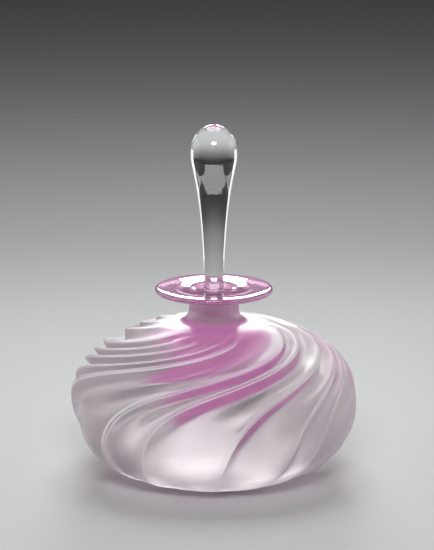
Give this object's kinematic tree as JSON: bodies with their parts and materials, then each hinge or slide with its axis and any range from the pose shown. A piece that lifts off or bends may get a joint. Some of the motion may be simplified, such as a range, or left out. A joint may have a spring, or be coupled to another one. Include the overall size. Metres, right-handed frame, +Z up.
{
  "type": "perfume bottle",
  "caption": "Squat carved frosted-glass perfume bottle with a coloured lining, a flared lip and a lift-out clear stopper.",
  "frame": {"origin": "centre of the foot, on the surface the bottle stands on", "axes": "+Z up along the stopper's axis; -Y is the side that is seen"},
  "size_m": [0.1043, 0.1028, 0.1292],
  "materials": {
    "frosted_glass": "clear glass with an acid-etched satin surface",
    "pink_glass": "transparent pink glass, fire polished",
    "pale_pink_glass": "transparent pale pink glass, polished",
    "clear_glass": "clear glass, polished",
    "ground_glass": "clear glass, ground matt"
  },
  "bodies": {
    "bottle": {"frosted_casing": "frosted_glass", "pink_reservoir_lining": "pink_glass", "flared_lip": "pale_pink_glass"},
    "stopper": {"stopper_finial": "clear_glass", "stopper_ground_peg": "ground_glass", "stopper_dauber": "clear_glass"}
  },
  "joints": [
    {"name": "stopper_lift", "type": "slide", "parent": "bottle", "child": "stopper", "axis": [0, 0, 1], "range_m": [0, 0.06]}
  ]
}
